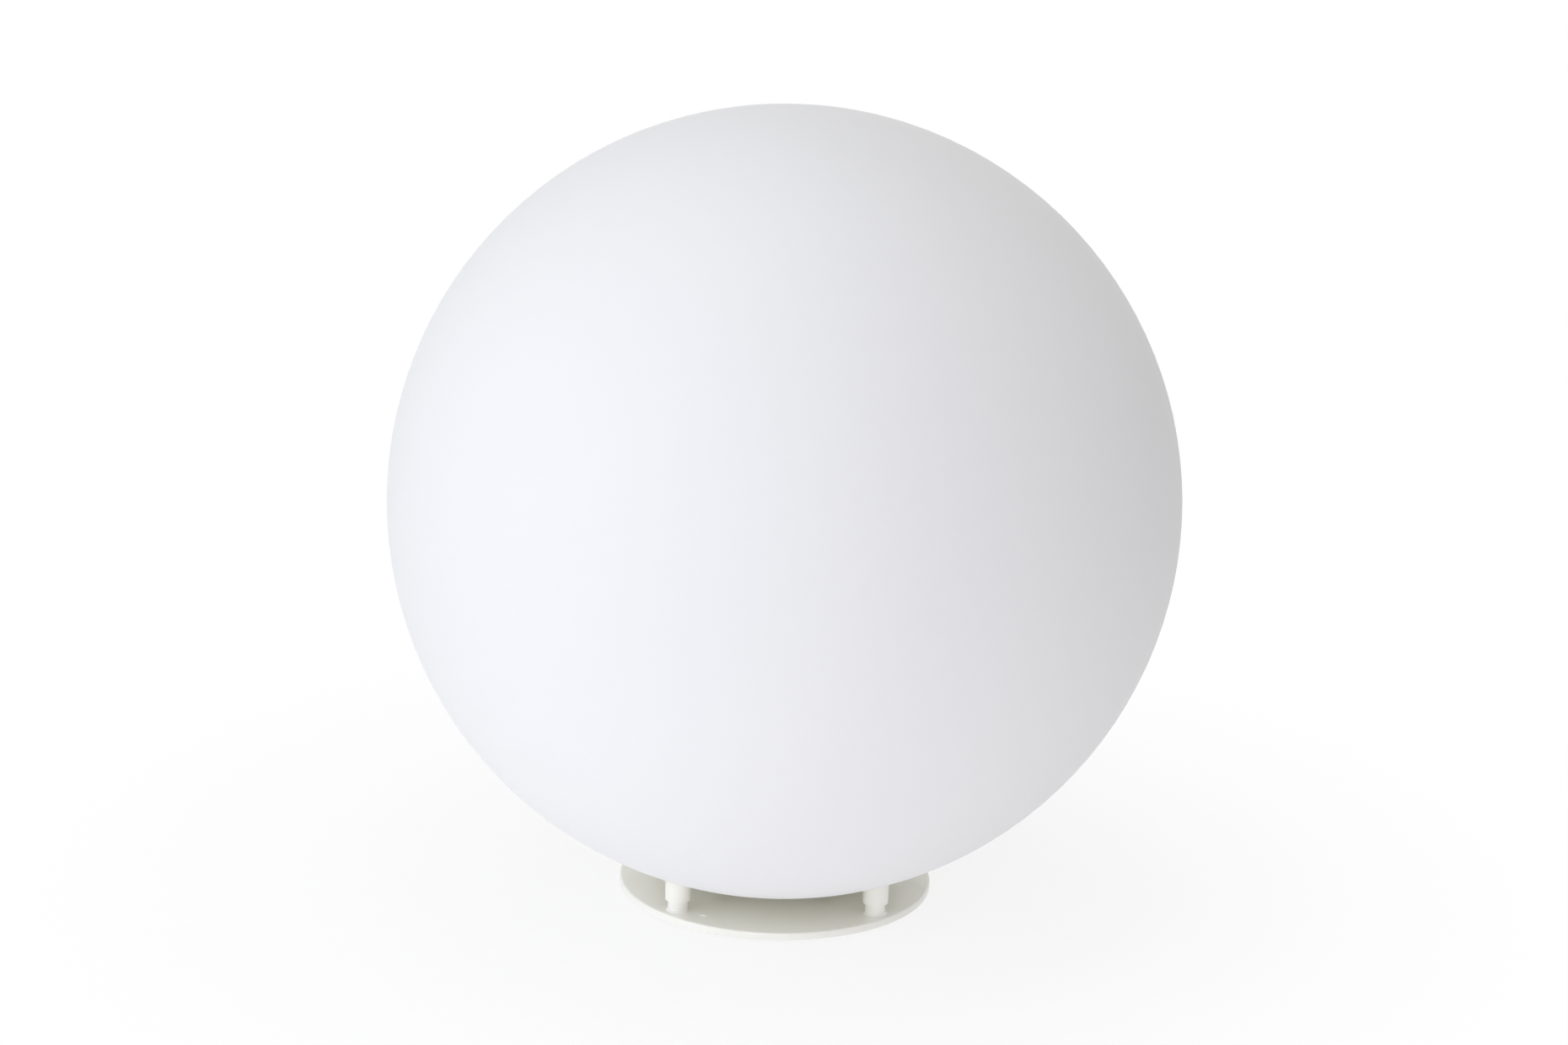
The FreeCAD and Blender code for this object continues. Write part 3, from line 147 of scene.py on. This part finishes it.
class Nodes:
    """A node tree with short helpers; a value is a number, a colour or another node's output."""

    def __init__(self, tree):
        self.tree = tree

    def give(self, socket, value):
        if isinstance(value, bpy.types.NodeSocket):
            self.tree.links.new(value, socket)
        else:
            socket.default_value = value

    def fill(self, node, values):
        """Gives a node its values by name, with _ for the blanks in the name of a socket."""
        for name, value in values.items():
            socket = node.inputs.get(name.replace("_", " "))
            if socket is None:
                setattr(node, name, value)
            else:
                self.give(socket, value)

    def node(self, kind, **values):
        made = self.tree.nodes.new(kind)
        self.fill(made, values)
        return made

    def maths(self, operation, *values):
        made = self.node("ShaderNodeMath", operation=operation)
        for socket, value in zip(made.inputs, values):
            self.give(socket, value)
        return made.outputs[0]

    def between(self, value, low, high, low_at=0.0, high_at=1.0, curve="LINEAR"):
        """Runs from low, where the value is low_at, to high, where it is high_at."""
        made = self.node("ShaderNodeMapRange", interpolation_type=curve, Value=value,
                         From_Min=low_at, From_Max=high_at, To_Min=low, To_Max=high)
        return made.outputs["Result"]

    def mixed(self, factor, first, second):
        """The first shader where the factor is 0, and the second where it is 1."""
        made = self.node("ShaderNodeMixShader")
        for socket, value in zip(made.inputs, (factor, first, second)):
            self.give(socket, value)
        return made.outputs[0]

    def blend(self, factor, first, second):
        """The same for two colours, each a plain tone or another node's output."""
        made = self.node("ShaderNodeMix", data_type="RGBA", Factor=factor)
        colours = [socket for socket in made.inputs if socket.type == "RGBA"]
        for socket, value in zip(colours, (first, second)):
            self.give(socket, (*value, 1) if isinstance(value, tuple) else value)
        return next(socket for socket in made.outputs if socket.type == "RGBA")

    def axis(self, vector, name):
        return self.node("ShaderNodeSeparateXYZ", Vector=vector).outputs[name]

    def place(self):
        return self.node("ShaderNodeTexCoord").outputs["Object"]

    def noise(self, waves, detail=3.0, stretch=(1, 1, 1)):
        """Noise of that many waves in a metre."""
        place = self.node("ShaderNodeMapping", Scale=stretch, Vector=self.place())
        made = self.node("ShaderNodeTexNoise", Scale=waves, Detail=detail, Vector=place.outputs[0])
        return made.outputs["Fac"]

    def seen(self):
        """1 for a ray that shows what it hits, straight, mirrored or refracted; 0 for light."""
        rays = self.node("ShaderNodeLightPath").outputs
        direct = self.maths("MAXIMUM", rays["Is Camera Ray"], rays["Is Glossy Ray"])
        return self.maths("MAXIMUM", direct, rays["Is Transmission Ray"])


class Finish(Nodes):
    """A new material; the values given are those of its one surface shader."""

    def __init__(self, name, **values):
        self.material = bpy.data.materials.new(name)
        self.material.use_nodes = True
        super().__init__(self.material.node_tree)
        self.surface = self.tree.nodes["Principled BSDF"]
        self.fill(self.surface, values)

    def colour(self, factor, low, high):
        self.fill(self.surface, {"Base_Color": self.blend(factor, low, high)})

    def rough(self, factor, low, high):
        self.fill(self.surface, {"Roughness": self.between(factor, low, high)})

    def bump(self, height, depth, strength=1.0):
        made = self.node("ShaderNodeBump", Height=height, Distance=depth, Strength=strength)
        self.fill(self.surface, {"Normal": made.outputs["Normal"]})


def shade(colour, amount):
    return tuple(max(0.0, min(1.0, channel * amount)) for channel in colour)


# Plastics and rubber

def moulded(name, colour, roughness, grain, depth=0.00002, variation=0.03):
    """Moulded plastic: a fine grain, and a faint drift of tone over the piece."""
    finish = Finish(name, IOR=1.48)
    drift = finish.noise(waves=18.0, detail=2.0)
    finish.colour(drift, low=shade(colour, 1 - variation), high=shade(colour, 1 + variation))
    finish.rough(finish.noise(waves=60.0), low=roughness - 0.05, high=roughness + 0.05)
    finish.bump(finish.noise(waves=grain, detail=2.0), depth)
    return finish.material


def opal_globe(name):
    """Blow-moulded polyethylene: matt, and faintly waxy where light grazes it."""
    finish = Finish(name, IOR=1.42, Specular_IOR_Level=0.3)
    drift = finish.noise(waves=7.0, detail=2.0)
    finish.colour(drift, low=(0.87, 0.866, 0.872), high=(0.882, 0.878, 0.884))
    finish.rough(finish.noise(waves=40.0), low=0.5, high=0.6)
    finish.bump(finish.noise(waves=420.0), depth=0.00005, strength=0.5)
    return finish.material


def gloss(name, **values):
    """Glossy injection-moulded white, slightly warm, in clear gloss over a faint ripple."""
    finish = Finish(name, IOR=1.5, Coat_Weight=0.6, Coat_Roughness=0.06, **values)
    drift = finish.noise(waves=9.0, detail=2.0)
    finish.colour(drift, low=(0.89, 0.883, 0.815), high=(0.905, 0.898, 0.84))
    finish.rough(finish.noise(waves=30.0), low=0.2, high=0.3)
    finish.bump(finish.noise(waves=55.0, detail=1.0), depth=0.00004, strength=0.35)
    return finish


def foot_white(name):
    return gloss(name).material


def cap_white(name):
    """The same white, with a painted glow on its downward faces that stands in for daylight inside
    the opal globe coming down through the wall.
    """
    finish = gloss(name, Emission_Color=CAP_PAINTED_GLOW_TINT)
    normal = finish.node("ShaderNodeNewGeometry").outputs["Normal"]
    # Painted glow: emission strongest where a face points straight down, fading out towards the
    # side
    glow = finish.between(finish.axis(normal, "Z"), low=CAP_PAINTED_GLOW, high=0.0,
                          low_at=-1.0, high_at=CAP_PAINTED_GLOW_END)
    finish.fill(finish.surface, {"Emission_Strength": glow})
    return finish.material


def rubber(name, colour, roughness, grain):
    """Soft moulded rubber: dull, with a fine matt grain."""
    finish = Finish(name, IOR=1.45, Specular_IOR_Level=0.35, Sheen_Weight=0.08)
    finish.colour(finish.noise(waves=grain / 8), low=shade(colour, 0.9), high=shade(colour, 1.1))
    finish.rough(finish.noise(waves=grain), low=roughness - 0.06, high=roughness + 0.06)
    finish.bump(finish.noise(waves=grain, detail=2.0), depth=0.00002)
    return finish.material


def clear(name, tint, roughness):
    """Clear moulded plastic with the slight ripple of the mould."""
    finish = Finish(name, IOR=1.49, Transmission_Weight=1.0)
    finish.colour(finish.noise(waves=20.0), low=shade(tint, 0.98), high=tint)
    finish.rough(finish.noise(waves=90.0), low=roughness, high=roughness + 0.04)
    finish.bump(finish.noise(waves=70.0, detail=1.0), depth=0.00002, strength=0.4)
    return finish.material


# Metal

def metal(name, colour, roughness, stretch=(1, 1, 1)):
    """Bright metal with fine drawing marks."""
    finish = Finish(name, Metallic=1.0)
    marks = finish.noise(waves=700.0, detail=4.0, stretch=stretch)
    finish.colour(marks, low=shade(colour, 0.86), high=shade(colour, 1.06))
    finish.rough(marks, low=roughness - 0.08, high=roughness + 0.12)
    finish.bump(marks, depth=0.000006)
    return finish.material


# Boards, panel and cells

def circuit_board(name, mask, track, pitch):
    """Solder mask over copper: tracks and pads show as a paler pattern in slight relief."""
    finish = Finish(name, IOR=1.5)
    cells = finish.node("ShaderNodeTexVoronoi", feature="F1", distance="MANHATTAN",
                        Scale=1 / pitch, Vector=finish.place())
    lines = finish.between(cells.outputs["Distance"], low=0.0, high=1.0,
                           low_at=TRACK_FROM, high_at=TRACK_TO)
    finish.colour(lines, low=mask, high=track)
    finish.rough(lines, low=0.25, high=0.4)
    finish.bump(lines, depth=0.00003)
    return finish.material


def stripes(finish, value, pitch, share):
    """1 on a line of that share of each pitch, 0 between the lines."""
    part = finish.maths("FRACT", finish.maths("DIVIDE", value, pitch))
    return finish.maths("LESS_THAN", part, share)


def silicon(name):
    """Dark blue cell strips crossed by fine silver fingers and two broader bus lines."""
    finish = Finish(name, IOR=1.9)
    along = finish.axis(finish.place(), "Y")
    fingers = stripes(finish, along, FINGER_PITCH, FINGER_SHARE)
    buses = stripes(finish, along, BUS_PITCH, BUS_SHARE)
    lines = finish.maths("MAXIMUM", fingers, buses)
    crystals = finish.noise(waves=260.0, detail=1.0)
    grain = finish.blend(crystals, (0.012, 0.022, 0.085), (0.02, 0.04, 0.15))
    finish.colour(lines, low=grain, high=(0.55, 0.57, 0.6))
    finish.rough(lines, low=0.18, high=0.35)
    return finish.material


def cell_sleeve(name, positive_side):
    """A plain printed sleeve with a darker ring at the positive end, at 1 or -1 along X."""
    finish = Finish(name, IOR=1.5, Coat_Weight=0.4)
    towards_end = finish.maths("MULTIPLY", finish.axis(finish.place(), "X"), positive_side)
    ring = finish.maths("GREATER_THAN", towards_end, SLEEVE_BAND_FROM)
    finish.colour(ring, low=SLEEVE_GREEN, high=SLEEVE_BAND)
    finish.rough(finish.noise(waves=80.0), low=0.2, high=0.34)
    finish.bump(finish.noise(waves=140.0, detail=2.0), depth=0.00004, strength=0.5)
    return finish.material


# Finishes: by material slot, and for the nodes that have one of their own

FINISHES = {
    "opal_globe": opal_globe,
    "white_gloss": foot_white,
    "housing_grey": partial(moulded, colour=(0.5, 0.51, 0.51), roughness=0.5, grain=1400.0,
                            depth=0.00003),
    "seal_silicone": partial(rubber, colour=(0.62, 0.62, 0.6), roughness=0.55, grain=500.0),
    "pad_rubber": partial(rubber, colour=(0.66, 0.66, 0.62), roughness=0.6, grain=900.0),
    "screw_steel": partial(metal, colour=(0.6, 0.61, 0.63), roughness=0.3),
    "spring_steel": partial(metal, colour=(0.66, 0.66, 0.65), roughness=0.24, stretch=(1, 1, 12)),
    "contact_nickel": partial(metal, colour=(0.72, 0.7, 0.65), roughness=0.2, stretch=(1, 6, 1)),
    "button_grey": partial(moulded, colour=(0.2, 0.205, 0.21), roughness=0.42, grain=1100.0),
    "board_green": partial(circuit_board, mask=(0.012, 0.09, 0.035), track=(0.03, 0.17, 0.07),
                           pitch=0.0052),
    "board_white": partial(circuit_board, mask=(0.8, 0.8, 0.78), track=(0.7, 0.7, 0.67),
                           pitch=0.0085),
    "component_black": partial(moulded, colour=(0.02, 0.02, 0.021), roughness=0.5, grain=1600.0),
    "ferrite_dark": partial(moulded, colour=(0.06, 0.06, 0.065), roughness=0.55, grain=700.0,
                            depth=0.00003, variation=0.12),
    "socket_white": partial(moulded, colour=(0.75, 0.73, 0.64), roughness=0.4, grain=900.0),
    "capacitor_sleeve": partial(moulded, colour=(0.02, 0.03, 0.09), roughness=0.25, grain=300.0),
    "led_white": partial(moulded, colour=(0.85, 0.85, 0.83), roughness=0.35, grain=1500.0),
    "led_phosphor": partial(moulded, colour=(0.85, 0.62, 0.08), roughness=0.3, grain=1800.0,
                            depth=0.00001, variation=0.08),
    "panel_black": partial(moulded, colour=(0.018, 0.018, 0.02), roughness=0.4, grain=800.0),
    "solar_silicon": silicon,
    "panel_glaze": partial(clear, tint=(0.97, 0.98, 1.0), roughness=0.02),
    "clear_cover": partial(clear, tint=(0.985, 0.99, 0.99), roughness=0.03),
    "lead_red": partial(moulded, colour=(0.5, 0.012, 0.012), roughness=0.35, grain=600.0),
    "lead_black": partial(moulded, colour=(0.015, 0.015, 0.015), roughness=0.38, grain=600.0),
}
OWN_FINISHES = {
    "base_cap": partial(cap_white, "cap_white"),
    "battery_cell_lower": partial(cell_sleeve, "battery_cell_lower", positive_side=-1.0),
    "battery_cell_upper": partial(cell_sleeve, "battery_cell_upper", positive_side=1.0),
}


def dress():
    """Gives every CAD node its own finish, or the one of its slot."""
    made = {}
    for entry in RECORD["subparts"]:
        node, slot = entry["node"], entry["material_slot"]
        if node in OWN_FINISHES:
            material = OWN_FINISHES[node]()
        else:
            if slot not in made:
                made[slot] = FINISHES[slot](slot)
            material = made[slot]
        mesh = NODES[node].data
        mesh.materials.clear()
        mesh.materials.append(material)


def pressed_spring():
    """The button's spring as a copy with a mesh of its own, held on the base in place of the CAD
    node.
    """
    node = NODES["button_spring"]
    spring = bpy.data.objects.new("button_spring_coil", node.data.copy())
    spring.matrix_world = node.matrix_world.copy()
    bpy.context.scene.collection.objects.link(spring)
    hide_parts("button_spring")
    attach(spring, "base")
    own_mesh(spring)


# Studio

def world():
    """White where it is seen, and plain even light on the object."""
    shell = bpy.data.worlds.new("studio")
    bpy.context.scene.world = shell
    shell.use_nodes = True
    sky = Nodes(shell.node_tree)
    sky.tree.nodes.clear()
    ambient = sky.node("ShaderNodeBackground", Color=WHITE, Strength=AMBIENT).outputs[0]
    white = sky.node("ShaderNodeBackground", Color=WHITE, Strength=BACKGROUND).outputs[0]
    sky.node("ShaderNodeOutputWorld", Surface=sky.mixed(sky.seen(), ambient, white))


def paper():
    """Pale ground: it takes the shadow near the foot and fades to the background further out."""
    finish = Finish("floor")
    finish.tree.nodes.remove(finish.surface)
    seen = finish.seen()
    away = finish.node("ShaderNodeVectorMath", operation="LENGTH",
                       Vector=finish.place()).outputs["Value"]

    tone = (FLOOR_WHITE, FLOOR_WHITE, FLOOR_WHITE, 1)
    lit = finish.node("ShaderNodeBsdfDiffuse", Color=tone).outputs[0]
    white = finish.node("ShaderNodeEmission", Strength=BACKGROUND).outputs[0]
    fade = finish.between(away, low=1 - SHADOW_KEPT, high=1.0,
                          low_at=SHADOW_NEAR, high_at=SHADOW_FAR, curve="SMOOTHSTEP")
    shown = finish.mixed(finish.maths("MULTIPLY", seen, fade), lit, white)

    bounced = finish.between(away, low=FOOT_GLOW, high=FLOOR_GLOW,
                             low_at=FOOT_GLOW_NEAR, high_at=FOOT_GLOW_FAR)
    unseen = finish.between(seen, low=1.0, high=0.0)
    strength = finish.maths("MULTIPLY", bounced, unseen)
    glow = finish.node("ShaderNodeEmission", Strength=strength).outputs[0]

    both = finish.node("ShaderNodeAddShader")
    finish.give(both.inputs[0], shown)
    finish.give(both.inputs[1], glow)
    finish.fill(finish.tree.nodes["Material Output"], {"Surface": both.outputs[0]})
    return finish.material


def floor():
    mesh = bpy.data.meshes.new("floor")
    half = FLOOR_SIZE / 2
    level = CAD_BOX[0][2] - FLOOR_DROP
    corners = [(-half, -half, level), (half, -half, level),
               (half, half, level), (-half, half, level)]
    mesh.from_pydata(corners, [], [(0, 1, 2, 3)])
    ground = bpy.data.objects.new("floor", mesh)
    bpy.context.scene.collection.objects.link(ground)
    mesh.materials.append(paper())


def softbox(name, place, side, power, tint=(1, 1, 1)):
    lamp = bpy.data.lights.new(name, "AREA")
    lamp.shape = "SQUARE"
    lamp.size = side
    lamp.energy = power
    lamp.color = tint
    holder = bpy.data.objects.new(name, lamp)
    holder.location = place
    holder.rotation_euler = (GLOBE_CENTRE - Vector(place)).to_track_quat("-Z", "Y").to_euler()
    bpy.context.scene.collection.objects.link(holder)


def lights():
    softbox("left_softbox", LEFT_PLACE, WIDE_SIDE, LEFT_POWER, LEFT_TINT)
    softbox("side_softbox", SIDE_PLACE, WIDE_SIDE, SIDE_POWER)
    softbox("front_softbox", FRONT_PLACE, NARROW_SIDE, FRONT_POWER, FRONT_TINT)
    softbox("top_softbox", TOP_PLACE, NARROW_SIDE, TOP_POWER)


def camera():
    """Looks from the photograph's side, with the globe as large and as high as it is there."""
    distance = CAMERA_DISTANCE_RADII * GLOBE_RADIUS
    focal_px = GLOBE_RADIUS_PX * math.sqrt(CAMERA_DISTANCE_RADII ** 2 - 1)
    away = Vector((0, -math.cos(CAMERA_ELEVATION), math.sin(CAMERA_ELEVATION)))
    up = Vector((0, math.sin(CAMERA_ELEVATION), math.cos(CAMERA_ELEVATION)))
    place = GLOBE_CENTRE + away * distance
    target = GLOBE_CENTRE - up * (GLOBE_ABOVE_MIDDLE_PX / focal_px * distance)
    data = bpy.data.cameras.new("camera")
    data.sensor_width = SENSOR_MM
    data.lens = focal_px / PHOTO_WIDTH * SENSOR_MM
    holder = bpy.data.objects.new("camera", data)
    aim = (target - place).to_track_quat("-Z", "Y").to_matrix()
    rolled = aim @ Matrix.Rotation(CAMERA_ROLL, 3, "Z")
    holder.matrix_world = Matrix.Translation(place) @ rolled.to_4x4()
    bpy.context.scene.collection.objects.link(holder)
    bpy.context.scene.camera = holder


bpy.context.scene.view_settings.view_transform = "Standard"
dress()
pressed_spring()
world()
floor()
lights()
camera()
